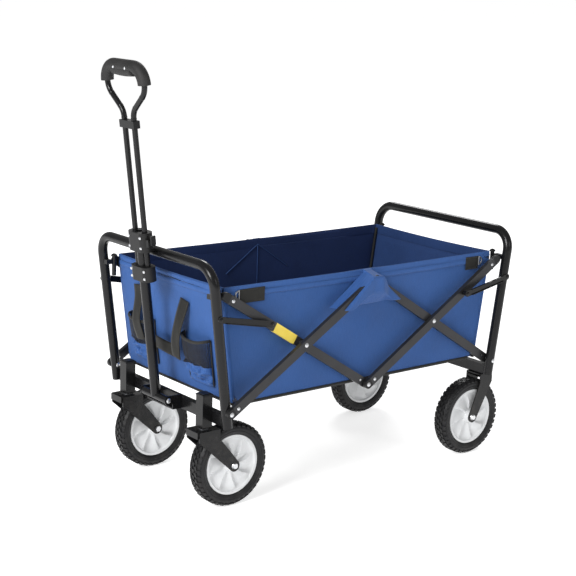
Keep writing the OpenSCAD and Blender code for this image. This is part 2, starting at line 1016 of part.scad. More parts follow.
// Ends of the slanting stretch between the neck bend and the top bend
slant_y0 = rod_y + neck_bend_r * (1 - cos(loop_spread));
slant_w0 = loop_bend_w + neck_bend_r * sin(loop_spread);
slant_y1 = loop_half_w - loop_bend_r * (1 - cos(loop_spread));
slant_l = (slant_y1 - slant_y0) / sin(loop_spread);
slant_w1 = slant_w0 + slant_l * cos(loop_spread);
loop_centre_y = hundredth(slant_y1 - loop_bend_r * cos(loop_spread));
loop_centre_w = hundredth(slant_w1 + loop_bend_r * sin(loop_spread));
loop_top_w = loop_centre_w + loop_bend_r;
// Each stretch stops short of its neighbour by joint_gap, inside a bead of weld
joint_gap = 0.4;
bead_d = rod_d + 0.8;

// Part of a ring of rod in the YZ plane, from angle a0 to a1, trimmed by the joint gap
module loop_arc(r, a0, a1) {
  trim = joint_gap / r * 180 / PI;
  rotate([90, 0, 90])
    rotate([0, 0, a0 + trim])
      rotate_extrude(angle = a1 - a0 - 2 * trim)
        translate([r, 0])
          circle(d = rod_d);
}

// One side of the pull loop, from the slide block up to the end of the top bend
module loop_half() {
  translate([0, rod_y, slide_block_w0 + 4])
    cylinder(d = rod_d, h = loop_bend_w - joint_gap - slide_block_w0 - 4);
  translate([0, rod_y + neck_bend_r, loop_bend_w])
    loop_arc(neck_bend_r, 180 - loop_spread, 180);
  translate([0, slant_y0, slant_w0])
    rotate([-loop_spread, 0, 0])
      translate([0, 0, joint_gap])
        cylinder(d = rod_d, h = slant_l - 2 * joint_gap);
  translate([0, loop_centre_y, loop_centre_w])
    loop_arc(loop_bend_r, -loop_spread, 90);
  for (joint = [
    [rod_y, loop_bend_w],
    [slant_y0, slant_w0],
    [slant_y1, slant_w1],
    [loop_centre_y, loop_top_w]
  ])
    translate([0, joint[0], joint[1]])
      sphere(d = bead_d);
}

module handle_loop() {
  color(steel_black) centred()
    on_handle() {
      both_sides()
        loop_half();
      translate([0, 0, loop_top_w])
        along_y(rod_d, joint_gap - loop_centre_y, loop_centre_y - joint_gap);
      translate([0, 0, neck_l])
        box([-rod_d / 2 - 2, -rod_y - rod_d / 2 - 3, 0],
            [rod_d / 2 + 2, rod_y + rod_d / 2 + 3, neck_h]);
    }
}

grip_bore = bead_d + 2 * block_clear;
// Half of what the grip reaches forward beyond what the rear tyres reach back
grip_reach = handle_offset + pivot_reach + loop_top_w * sin(handle_lean) + grip_d / 2;
mid_x = hundredth((grip_reach - rear_axle_x - wheel_r) / 2);

grip_joint = 0.1;

// Moulded grip in three lengths: one along the top and one round each bend
module handle_grip() {
  color(plastic_black) centred()
    on_handle() {
      both_sides()
        translate([0, loop_centre_y, loop_centre_w])
          rotate([90, 0, 90])
            rotate_extrude(angle = 90)
              translate([loop_bend_r, 0])
                difference() {
                  circle(d = grip_d);
                  circle(d = grip_bore);
                }
      translate([0, 0, loop_top_w])
        difference() {
          along_y(grip_d, grip_joint - loop_centre_y, loop_centre_y - grip_joint);
          along_y(grip_bore, -loop_centre_y, loop_centre_y);
        }
    }
}

/* ---- basket ---- */

corner_post_x = pivot_reach + lean_at(corner_post_top - 12) - panel_offset
  + corner_post_out + cloth_t / 2;

// Sewn sleeve that holds the panel to its corner post, with the tab that joins them
module post_sleeve() {
  low = corner_post_top - 42;
  high = corner_post_top - 19;
  bore = corner_post_d + 0.6;
  outer = bore + 3;
  translate([0, corner_post_y, 0])
    difference() {
      union() {
        translate([corner_post_x, 0, low])
          cylinder(d = outer, h = high - low);
        box([panel_x(low) - cloth_t / 2, -cloth_t / 2, low],
            [corner_post_x, cloth_t / 2, high]);
      }
      translate([corner_post_x, 0, low - 1])
        cylinder(d = bore, h = high - low + 2);
    }
}

// Upright cloth panel across one end, parallel to its frame
module end_panel(end) {
  half_w = basket_half_w - cloth_t - 0.4;
  color(cloth_blue) centred()
    scale([end, 1, 1]) {
      both_sides()
        post_sleeve();
      translate([0, half_w, 0])
        rotate([90, 0, 0])
          linear_extrude(2 * half_w)
            polygon([
              [panel_x(basket_floor), basket_floor],
              [panel_x(basket_floor) - cloth_t, basket_floor],
              [panel_x(basket_top) - cloth_t, basket_top],
              [panel_x(basket_top), basket_top]
            ]);
    }
}

module front_panel() {
  end_panel(front);
}

module rear_panel() {
  end_panel(rear);
}

hub_cover_half = 62;
hub_cover_low = hub_z - 34;
hub_cover_in = outer_bar_y + bar_t / 2 + rivet_head_t + 1;

// Cloth side with a flap that passes outside the upper hub
module side_panel(side) {
  cut = cloth_t + 0.4;
  color(cloth_blue) centred()
    scale([1, side, 1]) {
      translate([0, basket_half_w, 0])
        rotate([90, 0, 0])
          linear_extrude(cloth_t)
            polygon([
              [-panel_x(basket_floor) + cut, basket_floor],
              [panel_x(basket_floor) - cut, basket_floor],
              [panel_x(basket_top) - cut, basket_top],
              [-panel_x(basket_top) + cut, basket_top]
            ]);
      box([-hub_cover_half, basket_half_w - 0.5, basket_top - cloth_t],
          [hub_cover_half, hub_cover_in + cloth_t, basket_top]);
      box([-hub_cover_half, hub_cover_in, hub_cover_low],
          [hub_cover_half, hub_cover_in + cloth_t, basket_top]);
    }
}

module side_panel_near() {
  side_panel(near);
}

module side_panel_far() {
  side_panel(far);
}

module floor_panel() {
  reach = panel_x(basket_floor) - cloth_t - 0.4;
  half_w = basket_half_w - cloth_t - 0.4;
  color(cloth_blue) centred()
    box([-reach, -half_w, basket_floor], [reach, half_w, basket_floor + 4]);
}

// Places children on the outer face of the front panel: +X forward, +Z up along the panel
module on_front_panel(z) {
  translate([-panel_x(z) - 0.3, 0, z])
    rotate([0, -frame_lean, 0])
      children();
}

pocket_y = 107;
pocket_w = 96;
pocket_depth = 24;
// Clear of the caps on the caster posts
pocket_low = post_top + 11;
pocket_top = basket_top - 126;
pocket_h = hundredth((pocket_top - pocket_low) / cos(frame_lean));

module cup_pockets() {
  color(webbing_black) centred()
    both_sides()
      on_front_panel(pocket_low)
        difference() {
          box([-pocket_depth, pocket_y - pocket_w / 2, 0], [0, pocket_y + pocket_w / 2, pocket_h]);
          box([-pocket_depth + cloth_t, pocket_y - pocket_w / 2 + cloth_t, cloth_t],
              [-cloth_t, pocket_y + pocket_w / 2 - cloth_t, pocket_h + 1]);
        }
}

// Two hanging webbing straps, between the hem and the pockets
module front_straps() {
  strap_w = 30;
  strap_t = 2;
  strap_top = basket_top - 54;
  strap_l = 125;
  color(webbing_black) centred()
    both_sides()
      on_front_panel(strap_top)
        box([-strap_t, pocket_y - pocket_w / 2 - 3 - strap_w, -strap_l],
            [0, pocket_y - pocket_w / 2 - 3, 0]);
}

// D-shaped rings sewn at the basket's top corners
module d_rings(end) {
  ring_r = 9;
  wire = 3;
  color(rivet_silver) centred()
    both_sides()
      translate([end * (panel_x(basket_top) - 40), basket_half_w + 0.4 + wire / 2, basket_top - 18])
        rotate([90, 0, 0]) {
          scale([end, 1, 1])
            rotate([0, 0, -90])
              rotate_extrude(angle = 180)
                translate([ring_r, 0])
                  circle(d = wire);
          rotate([90, 0, 0])
            translate([0, 0, -ring_r - wire / 2])
              cylinder(d = wire, h = 2 * ring_r + wire);
        }
}

module front_d_rings() {
  d_rings(front);
}

module rear_d_rings() {
  d_rings(rear);
}

front_frame();
front_crossbar();
handle_bracket();
caster_posts();
front_caps();
front_corner_posts();
front_frame_pins();
front_panel();
cup_pockets();
front_straps();
front_d_rings();
rear_frame();
rear_crossbar();
rear_fork_near();
rear_fork_far();
rear_corner_posts();
rear_caps();
rear_frame_pins();
rear_panel();
rear_axles();
rear_d_rings();
caster_fork_near();
caster_fork_far();
caster_stem_near();
caster_stem_far();
front_axle_near();
front_axle_far();
front_rim_near();
front_rim_far();
rear_rim_near();
rear_rim_far();
front_tyre_near();
front_tyre_far();
rear_tyre_near();
rear_tyre_far();
front_rising_bars();
front_rising_plugs();
front_rising_pins();
front_falling_bars();
front_falling_plugs();
front_falling_pins();
warning_bands();
rear_falling_bars();
rear_falling_plugs();
rear_falling_pins();
rear_rising_bars();
rear_rising_plugs();
rear_rising_pins();
front_links();
rear_links();
handle_tube();
handle_top_block();
handle_lever();
handle_pivot_bolt();
handle_loop();
handle_slide_block();
handle_grip();
side_panel_near();
side_panel_far();
floor_panel();
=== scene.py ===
"""The looks of a folding camp wagon: sewn cloth basket, painted tube, moulded wheels."""
import math
import json
import bmesh
import bpy
from mathutils import Matrix, Vector, noise


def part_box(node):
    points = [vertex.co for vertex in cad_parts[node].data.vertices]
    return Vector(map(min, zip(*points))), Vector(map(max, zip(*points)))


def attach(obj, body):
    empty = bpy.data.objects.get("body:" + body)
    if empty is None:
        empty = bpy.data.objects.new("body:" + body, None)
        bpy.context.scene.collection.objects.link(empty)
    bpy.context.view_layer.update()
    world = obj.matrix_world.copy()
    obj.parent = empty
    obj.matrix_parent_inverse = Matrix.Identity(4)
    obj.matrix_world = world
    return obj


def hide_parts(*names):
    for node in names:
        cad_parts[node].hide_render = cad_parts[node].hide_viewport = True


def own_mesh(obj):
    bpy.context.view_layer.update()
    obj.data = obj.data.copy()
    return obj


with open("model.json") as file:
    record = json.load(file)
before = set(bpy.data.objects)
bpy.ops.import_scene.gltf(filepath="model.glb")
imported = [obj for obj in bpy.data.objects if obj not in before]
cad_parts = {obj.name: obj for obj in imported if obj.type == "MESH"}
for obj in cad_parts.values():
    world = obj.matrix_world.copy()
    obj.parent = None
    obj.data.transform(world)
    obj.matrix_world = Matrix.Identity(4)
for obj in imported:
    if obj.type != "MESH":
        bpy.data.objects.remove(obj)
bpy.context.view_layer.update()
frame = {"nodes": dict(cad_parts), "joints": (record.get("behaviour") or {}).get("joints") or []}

RECORD_JOINTS = {j["name"]: j for j in frame["joints"]}
HUB = Vector(RECORD_JOINTS["upper_hub"]["pos_m"])
MID = HUB.x
NEAR, FAR = -1, 1
MM = 0.001


def box_of(node):
    low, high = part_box(node)
    return Vector(low), Vector(high)


# ---------------------------------------------------------------- mesh helpers

def finish_mesh(name, bm, materials, smooth=True):
    """Makes the bmesh an object at the origin and gives it its materials."""
    mesh = bpy.data.meshes.new(name)
    bm.to_mesh(mesh)
    bm.free()
    obj = bpy.data.objects.new(name, mesh)
    bpy.context.scene.collection.objects.link(obj)
    for material in materials:
        mesh.materials.append(material)
    for polygon in mesh.polygons:
        polygon.use_smooth = smooth
    return obj


def cloth_grid(name, columns, rows, size, place, materials, pick=None):
    """A rectangle of cloth, bent by place(u, v), with its weave map in metres."""
    bm = bmesh.new()
    bmesh.ops.create_grid(bm, x_segments=columns, y_segments=rows, size=0.5)
    uv_layer = bm.loops.layers.uv.new("cloth")
    for face in bm.faces:
        for loop in face.loops:
            u, v = loop.vert.co.x + 0.5, loop.vert.co.y + 0.5
            loop[uv_layer].uv = (u * size[0], v * size[1])
        if pick:
            middle = face.calc_center_median()
            face.material_index = pick(middle.x + 0.5, middle.y + 0.5)
    for vert in bm.verts:
        vert.co = place(vert.co.x + 0.5, vert.co.y + 0.5)
    return finish_mesh(name, bm, materials)


def thicken(obj, thickness, offset=0.0):
    solidify = obj.modifiers.new("cloth thickness", "SOLIDIFY")
    solidify.thickness = thickness
    solidify.offset = offset
    return obj


def two_faced(obj, thickness):
    """Cloth of two finishes: the grid's own side has slot 0 and its back has slot 1."""
    thicken(obj, thickness).modifiers[0].material_offset = 1


def sweep(bm, points, radius_x, radius_y=None, sides=12, up=Vector((0, 0, 1))):
    """A closed tube through the points, made by extruding one ring along them."""
    radius_y = radius_y or radius_x
    ring = bmesh.ops.create_circle(bm, cap_ends=True, segments=sides, radius=1)["verts"]
    local = [v.co.copy() for v in ring]
    face = ring[0].link_faces[0]

    def seat(verts, i):
        ahead = points[min(i + 1, len(points) - 1)] - points[max(i - 1, 0)]
        ahead.normalize()
        side = ahead.cross(up)
        if side.length < 1e-4:
            side = ahead.cross(Vector((1, 0, 0)))
        side.normalize()
        rise = side.cross(ahead)
        for vert, place in zip(verts, local):
            vert.co = points[i] + side * place.x * radius_x + rise * place.y * radius_y

    order = {v: n for n, v in enumerate(ring)}
    seat(ring, 0)
    for i in range(1, len(points)):
        before = list(face.verts)
        result = bmesh.ops.extrude_face_region(bm, geom=[face])
        cap = [g for g in result["geom"] if isinstance(g, bmesh.types.BMFace)][0]
        if i > 1:
            bmesh.ops.delete(bm, geom=[face], context="FACES_ONLY")
        new = list(cap.verts)
        matched = {}
        for vert in new:
            nearest = min(before, key=lambda b: (b.co - vert.co).length)
            matched[vert] = order[nearest]
        order.update(matched)
        new.sort(key=lambda v: order[v])
        seat(new, i)
        face = cap
    bmesh.ops.recalc_face_normals(bm, faces=bm.faces[:])


def tube(name, paths, radius, material, radius_y=None, sides=12, up=Vector((0, 0, 1))):
    bm = bmesh.new()
    for points in paths:
        part = bmesh.new()
        sweep(part, [Vector(p) for p in points], radius, radius_y, sides, up)
        mesh = bpy.data.meshes.new("part")
        part.to_mesh(mesh)
        part.free()
        bm.from_mesh(mesh)
        bpy.data.meshes.remove(mesh)
    return finish_mesh(name, bm, [material])


def smoothstep(low, high, value):
    t = min(max((value - low) / (high - low), 0.0), 1.0)
    return t * t * (3 - 2 * t)


def mix(a, b, t):
    return a + (b - a) * t


# ---------------------------------------------------------------- shader groups

def new_group(name, inputs, outputs):
    tree = bpy.data.node_groups.new(name, "ShaderNodeTree")
    for label, kind, default in inputs:
        socket = tree.interface.new_socket(label, in_out="INPUT", socket_type=kind)
        if default is not None:
            socket.default_value = default
    for label, kind in outputs:
        tree.interface.new_socket(label, in_out="OUTPUT", socket_type=kind)
    return tree, tree.nodes.new("NodeGroupInput"), tree.nodes.new("NodeGroupOutput")


class Wiring:
    """Short calls for placing and joining nodes in one tree."""

    def __init__(self, tree):
        self.tree = tree

    def node(self, kind, **settings):
        made = self.tree.nodes.new(kind)
        for key, value in settings.items():
            setattr(made, key, value)
        return made

    def link(self, source, target):
        self.tree.links.new(source, target)

    def math(self, operation, a, b=None, c=None):
        made = self.node("ShaderNodeMath", operation=operation)
        for slot, value in enumerate((a, b, c)):
            if value is None:
                continue
            if isinstance(value, (int, float)):
                made.inputs[slot].default_value = value
            else:
                self.link(value, made.inputs[slot])
        return made.outputs[0]

    def noise(self, vector, scale, detail=4.0, roughness=0.6):
        made = self.node("ShaderNodeTexNoise")
        made.inputs["Detail"].default_value = detail
        made.inputs["Roughness"].default_value = roughness
        if isinstance(scale, (int, float)):
            made.inputs["Scale"].default_value = scale
        else:
            self.link(scale, made.inputs["Scale"])
        self.link(vector, made.inputs["Vector"])
        return made.outputs["Fac"]

    def blend(self, factor, a, b, kind="MIX"):
        made = self.node("ShaderNodeMix", data_type="RGBA", blend_type=kind)
        for slot, value in ((0, factor), (6, a), (7, b)):
            if isinstance(value, (int, float)):
                made.inputs[slot].default_value = value
            elif isinstance(value, tuple):
                made.inputs[slot].default_value = value
            else:
                self.link(value, made.inputs[slot])
        return made.outputs[2]

    def remap(self, value, low, high, to_low, to_high):
        made = self.node("ShaderNodeMapRange")
        self.link(value, made.inputs["Value"])
        for label, number in (("From Min", low), ("From Max", high),
                              ("To Min", to_low), ("To Max", to_high)):
            made.inputs[label].default_value = number
        return made.outputs["Result"]


def weave_group():
    """Plain weave: over-and-under threads as a height, with uneven yarn as a mask."""
    tree, given, out = new_group(
        "plain weave",
        [("Vector", "NodeSocketVector", None), ("Threads", "NodeSocketFloat", 1400.0)],
        [("Height", "NodeSocketFloat"), ("Yarn", "NodeSocketFloat")])
    w = Wiring(tree)
    apart = w.node("ShaderNodeSeparateXYZ")
    w.link(given.outputs["Vector"], apart.inputs[0])
    across = w.math("MULTIPLY", apart.outputs["X"], given.outputs["Threads"])
    along = w.math("MULTIPLY", apart.outputs["Y"], given.outputs["Threads"])
    warp = w.math("SINE", w.math("MULTIPLY", across, math.pi))
    weft = w.math("SINE", w.math("MULTIPLY", along, math.pi))
    height = w.math("MULTIPLY", w.math("ABSOLUTE", warp), w.math("ABSOLUTE", weft))
    w.link(height, out.inputs["Height"])
    stretch = w.node("ShaderNodeMapping")
    stretch.inputs["Scale"].default_value = (1.0, 0.06, 1.0)
    w.link(given.outputs["Vector"], stretch.inputs["Vector"])
    uneven = w.noise(stretch.outputs[0], 900.0, 2.0)
    w.link(uneven, out.inputs["Yarn"])
    return tree


def stitch_group():
    """Rows of lock stitch at two heights of the weave map's Y, as a mask of dashes."""
    tree, given, out = new_group(
        "stitch rows",
        [("Vector", "NodeSocketVector", None), ("Row", "NodeSocketFloat", 0.02),
         ("Second row", "NodeSocketFloat", 0.004), ("Pitch", "NodeSocketFloat", 0.004)],
        [("Thread", "NodeSocketFloat"), ("Pucker", "NodeSocketFloat")])
    w = Wiring(tree)
    apart = w.node("ShaderNodeSeparateXYZ")
    w.link(given.outputs["Vector"], apart.inputs[0])
    phase = w.math("FRACT", w.math("DIVIDE", apart.outputs["X"], given.outputs["Pitch"]))
    dash = w.math("LESS_THAN", phase, 0.7)
    masks, puckers = [], []
    for label in ("Row", "Second row"):
        far = w.math("ABSOLUTE", w.math("SUBTRACT", apart.outputs["Y"], given.outputs[label]))
        masks.append(w.math("MULTIPLY", w.math("LESS_THAN", far, 0.00055), dash))
        puckers.append(w.remap(far, 0.0, 0.003, 1.0, 0.0))
    w.link(w.math("MAXIMUM", *masks), out.inputs["Thread"])
    w.link(w.math("MAXIMUM", *puckers), out.inputs["Pucker"])
    return tree


def dust_group():
    """Road dust that thins out upwards, broken up by noise."""
    tree, given, out = new_group(
        "low dust",
        [("Vector", "NodeSocketVector", None), ("Top", "NodeSocketFloat", 0.3)],
        [("Mask", "NodeSocketFloat")])
    w = Wiring(tree)
    apart = w.node("ShaderNodeSeparateXYZ")
    w.link(given.outputs["Vector"], apart.inputs[0])
    low = w.math("SUBTRACT", 1.0, w.math("DIVIDE", apart.outputs["Z"], given.outputs["Top"]))
    spots = w.remap(w.noise(given.outputs["Vector"], 60.0, 6.0), 0.45, 0.75, 0.0, 1.0)
    mask = w.math("MULTIPLY", w.math("MAXIMUM", low, 0.0), spots)
    w.link(mask, out.inputs["Mask"])
    return tree


def wear_group():
    """Rubbed and scuffed patches: fine scratches inside soft-edged areas."""
    tree, given, out = new_group(
        "rubbed wear",
        [("Vector", "NodeSocketVector", None), ("Scale", "NodeSocketFloat", 30.0)],
        [("Mask", "NodeSocketFloat"), ("Mottle", "NodeSocketFloat")])
    w = Wiring(tree)
    mottle = w.noise(given.outputs["Vector"], given.outputs["Scale"], 5.0)
    area = w.remap(mottle, 0.58, 0.78, 0.0, 1.0)
    stretch = w.node("ShaderNodeMapping")
    stretch.inputs["Scale"].default_value = (1.0, 0.15, 0.15)
    w.link(given.outputs["Vector"], stretch.inputs["Vector"])
    scratches = w.remap(w.noise(stretch.outputs[0], 700.0, 3.0), 0.6, 0.7, 0.0, 1.0)
    w.link(w.math("MULTIPLY", area, scratches), out.inputs["Mask"])
    w.link(mottle, out.inputs["Mottle"])
    return tree


WEAVE = weave_group()
STITCH = stitch_group()
DUST = dust_group()
WEAR = wear_group()


def surface(name):
    material = bpy.data.materials.new(name)
    material.use_nodes = True
    w = Wiring(material.node_tree)
    shader = material.node_tree.nodes["Principled BSDF"]
    return material, w, shader


def object_place(w):
    return w.node("ShaderNodeTexCoord").outputs["Object"]


def place_group(w, tree, vector, **values):
    made = w.node("ShaderNodeGroup", node_tree=tree)
    w.link(vector, made.inputs["Vector"])
    for label, value in values.items():
        made.inputs[label.replace("_", " ")].default_value = value
    return made


def bump(w, shader, height, distance, strength=1.0):
    made = w.node("ShaderNodeBump")
    made.inputs["Strength"].default_value = strength
    made.inputs["Distance"].default_value = distance
    w.link(height, made.inputs["Height"])
    w.link(made.outputs[0], shader.inputs["Normal"])


def cloth_material(name, dark, light, threads, sheen=0.08, rows=None, thread=None,
                   alpha=None, rough=(0.62, 0.8)):
    """Woven cloth on the piece's own map, with stitching where rows are given."""
    material, w, shader = surface(name)
    uv = w.node("ShaderNodeUVMap", uv_map="cloth").outputs[0]
    weave = place_group(w, WEAVE, uv, Threads=threads)
    soft = w.noise(uv, 9.0, 3.0)
    shade = w.math("ADD", w.math("MULTIPLY", weave.outputs["Yarn"], 0.55),
                   w.math("MULTIPLY", soft, 0.45))
    colour = w.blend(w.remap(shade, 0.35, 0.65, 0.0, 1.0), dark, light)
    height = weave.outputs["Height"]
    if rows:
        sewn = place_group(w, STITCH, uv, Row=rows[0], Second_row=rows[1])
        colour = w.blend(sewn.outputs["Thread"], colour, thread)
        height = w.math("SUBTRACT", height, w.math("MULTIPLY", sewn.outputs["Pucker"], 2.5))
        height = w.math("ADD", height, w.math("MULTIPLY", sewn.outputs["Thread"], 3.0))
    w.link(colour, shader.inputs["Base Color"])
    w.link(w.remap(soft, 0.3, 0.7, *rough), shader.inputs["Roughness"])
    shader.inputs["Sheen Weight"].default_value = sheen
    shader.inputs["Sheen Roughness"].default_value = 0.5
    shader.inputs["Specular IOR Level"].default_value = 0.3
    bump(w, shader, height, 0.00018, 0.6)
    if alpha:
        holes = w.math("GREATER_THAN", weave.outputs["Height"], alpha)
        w.link(w.math("SUBTRACT", 1.0, holes), shader.inputs["Alpha"])
    return material


def coated_metal(name, colour, worn, rough, grain=1400.0, dust_top=0.25, metallic=0.0,
                 gloss=0.5):
    """Powder coat or plate with fine orange peel, rubbed edges and a little dust."""
    material, w, shader = surface(name)
    at = object_place(w)
    wear = place_group(w, WEAR, at, Scale=26.0)
    dust = place_group(w, DUST, at, Top=dust_top)
    tint = w.blend(w.remap(wear.outputs["Mottle"], 0.3, 0.7, 0.0, 0.35), colour, worn)
    tint = w.blend(w.math("MULTIPLY", wear.outputs["Mask"], 0.6), tint, worn)
    tint = w.blend(w.math("MULTIPLY", dust.outputs["Mask"], 0.18), tint,
                   (0.32, 0.29, 0.25, 1))
    w.link(tint, shader.inputs["Base Color"])
    shader.inputs["Metallic"].default_value = metallic
    shader.inputs["Specular IOR Level"].default_value = gloss
    w.link(w.remap(wear.outputs["Mottle"], 0.3, 0.7, rough[0], rough[1]),
           shader.inputs["Roughness"])
    bump(w, shader, w.noise(at, grain, 2.0), 0.00012, 0.35)
    return material


def moulded(name, colour, light, rough, grain=900.0, depth=0.0001, dust_top=0.2,
            dust_share=0.25, coat=0.0, gloss=0.25):
    """Moulded plastic or rubber with a spark-eroded grain."""
    material, w, shader = surface(name)
    at = object_place(w)
    dust = place_group(w, DUST, at, Top=dust_top)
    mottle = w.noise(at, 22.0, 5.0)
    tint = w.blend(w.remap(mottle, 0.3, 0.7, 0.0, 1.0), colour, light)
    tint = w.blend(w.math("MULTIPLY", dust.outputs["Mask"], dust_share), tint,
                   (0.36, 0.33, 0.29, 1))
    w.link(tint, shader.inputs["Base Color"])
    w.link(w.remap(mottle, 0.3, 0.7, *rough), shader.inputs["Roughness"])
    shader.inputs["Coat Weight"].default_value = coat
    shader.inputs["Specular IOR Level"].default_value = gloss
    bump(w, shader, w.noise(at, grain, 3.0), depth, 0.5)
    return material


BLUE_DARK, BLUE_LIGHT = (0.020, 0.074, 0.240, 1), (0.031, 0.100, 0.315, 1)
# Darker blue for the inner faces of the end cloths: painted shade for the inside of the basket,
# on the same blue cloth.
PAINTED_SHADE_DARK, PAINTED_SHADE_LIGHT = (0.011, 0.036, 0.125, 1), (0.017, 0.050, 0.168, 1)
# Dark navy for the lining, darker than the outer blue as painted shade for the inside of the
# basket.
LINING_SHADED_DARK, LINING_SHADED_LIGHT = (0.006, 0.019, 0.078, 1), (0.010, 0.028, 0.108, 1)
THREAD = (0.012, 0.03, 0.10, 1)

blue_cloth = cloth_material("blue polyester", BLUE_DARK, BLUE_LIGHT, 1500.0,
                            rows=(0.232, 0.0035), thread=THREAD)
flap_cloth = cloth_material("blue flap", BLUE_DARK, BLUE_LIGHT, 1500.0)
pouch_cloth = cloth_material("pouch cloth", BLUE_DARK, (0.034, 0.108, 0.335, 1), 1500.0)
# The end cloths' inner face: the outer blue darkened as painted shade.
shaded_inner_cloth = cloth_material("inner end cloth in painted shade", PAINTED_SHADE_DARK, PAINTED_SHADE_LIGHT, 1500.0,
                             rows=(0.232, 0.0035), thread=THREAD)
# The lining's dark navy includes painted shade for the inside of the basket.
lining = cloth_material("basket lining", LINING_SHADED_DARK, LINING_SHADED_LIGHT, 1500.0, sheen=0.04,
                        rows=(0.236, 0.0035), thread=(0.03, 0.06, 0.16, 1))
webbing = cloth_material("black webbing", (0.006, 0.006, 0.005, 1), (0.017, 0.016, 0.013, 1),
                         520.0, rows=(0.0025, 0.0275), thread=(0.035, 0.034, 0.028, 1))
net = cloth_material("pocket net", (0.006, 0.008, 0.016, 1), (0.012, 0.016, 0.03, 1),
                     420.0, sheen=0.05, alpha=0.45)
binding = cloth_material("edge binding", (0.008, 0.008, 0.008, 1), (0.02, 0.02, 0.018, 1),
                         900.0)
seam_cloth = moulded("rolled seam", BLUE_DARK, BLUE_LIGHT, (0.6, 0.75), grain=1800.0,
                     depth=0.00012, dust_share=0.0)
lining_seam = moulded("seam tape", (0.02, 0.05, 0.16, 1), (0.03, 0.07, 0.2, 1), (0.6, 0.8))
hem_cloth = cloth_material("hem cloth", (0.022, 0.078, 0.250, 1), (0.034, 0.106, 0.330, 1),
                           1500.0, rows=(0.0235, 0.0445), thread=THREAD)
frame_paint = coated_metal("black powder coat", (0.005, 0.005, 0.0055, 1),
                           (0.013, 0.013, 0.014, 1), (0.17, 0.27), dust_top=0.2,
                           gloss=0.26)
bar_paint = coated_metal("grey powder coat", (0.034, 0.034, 0.036, 1),
                         (0.062, 0.062, 0.066, 1), (0.28, 0.4), metallic=0.5, gloss=0.3)
zinc = coated_metal("bright zinc", (0.62, 0.63, 0.65, 1), (0.82, 0.82, 0.82, 1),
                    (0.22, 0.38), metallic=1.0, dust_top=0.12)
dull_zinc = coated_metal("dull zinc", (0.24, 0.25, 0.27, 1), (0.45, 0.45, 0.46, 1),
                         (0.35, 0.5), metallic=1.0)
black_plastic = moulded("black plastic", (0.007, 0.007, 0.007, 1), (0.014, 0.014, 0.015, 1),
                        (0.36, 0.5))
grip_rubber = moulded("grip rubber", (0.012, 0.012, 0.012, 1), (0.028, 0.027, 0.027, 1),
                      (0.5, 0.66), grain=1500.0, depth=0.00016)
tyre_rubber = moulded("tyre rubber", (0.008, 0.008, 0.009, 1), (0.014, 0.014, 0.015, 1),
                      (0.40, 0.54), grain=700.0, dust_top=0.19, dust_share=0.06)
white_plastic = moulded("white plastic", (0.66, 0.67, 0.68, 1), (0.72, 0.73, 0.74, 1),
                        (0.22, 0.34), grain=500.0, depth=0.00004, dust_share=0.12,
                        coat=0.3)
yellow_film = moulded("yellow film", (0.80, 0.60, 0.075, 1), (0.86, 0.68, 0.13, 1),
                      (0.32, 0.45), depth=0.00006, dust_share=0.05)

NODE_MATERIALS = {
    frame_paint: ["front_frame", "front_crossbar", "handle_bracket", "caster_posts",
                  "front_corner_posts", "rear_frame", "rear_crossbar", "rear_fork_near",
                  "rear_fork_far", "rear_corner_posts", "caster_fork_near",
                  "caster_fork_far", "front_links", "rear_links", "handle_tube",
                  "handle_loop"],
    bar_paint: ["front_rising_bars", "front_falling_bars", "rear_falling_bars",
                "rear_rising_bars"],
    black_plastic: ["front_caps", "rear_caps", "front_rising_plugs",
                    "front_falling_plugs", "rear_falling_plugs", "rear_rising_plugs",
                    "handle_top_block", "handle_lever", "handle_slide_block"],
    zinc: ["front_frame_pins", "rear_frame_pins", "rear_axles", "front_axle_near",
           "front_axle_far", "front_rising_pins", "front_falling_pins",
           "rear_falling_pins", "rear_rising_pins", "handle_pivot_bolt"],
    dull_zinc: ["caster_stem_near", "caster_stem_far", "front_d_rings", "rear_d_rings"],
    grip_rubber: ["handle_grip"],
    yellow_film: ["warning_bands"],
}


def dress_cad_nodes():
    for material, names in NODE_MATERIALS.items():
        for name in names:
            obj = frame["nodes"][name]
            if not obj.material_slots:
                obj.data.materials.append(material)
            for slot in obj.material_slots:
                slot.material = material


# ---------------------------------------------------------------- basket cloth

PANEL_HIGH = box_of("side_panel_near")[1]
FLOOR_Z = box_of("floor_panel")[0].z
TOP_Z = PANEL_HIGH.z
REACH_TOP = PANEL_HIGH.x - MID
LEAN = math.tan(math.radians(7.5))
REACH_LOW = REACH_TOP - (TOP_Z - FLOOR_Z) * LEAN
CLOTH_Y = box_of("side_panel_far")[0].y + 1.2 * MM
FLAP_Y = box_of("side_panel_far")[1].y
CLOTH = 1.1 * MM


def reach(z):
    return mix(REACH_LOW, REACH_TOP, (z - FLOOR_Z) / (TOP_Z - FLOOR_Z))


def wrinkle(x, z, seed, size):
    """Slack in the cloth: long soft ripples, in metres."""
    rough = noise.noise(Vector((x * 5.0, z * 11.0, seed)))
    fine = noise.noise(Vector((x * 16.0 + z * 9.0, z * 18.0, seed + 7.3)))
    return size * (rough + 0.35 * fine)


def crumples(obj):
    """Hangs the cloth on the front frame's body, with its own copy of the mesh."""
    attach(obj, "front_end")
    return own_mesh(obj)


FLAP_LOW = 0.421


def between_bars(z):
    """Half of the free width between the two bars under the upper hub."""
    return (HUB.z - 0.012 - z) / 0.625


def swell(z):
    """How far the flap's middle stands out, from 0 at its lower edge to 1 at the hub."""
    return smoothstep(0.405, 0.455, z)


def hub_front(x):
    """Outer face of the cloth over the bars: further out over the front pair."""
    return mix(0.2215, FLAP_Y, 1 - smoothstep(0.013, 0.055, x))


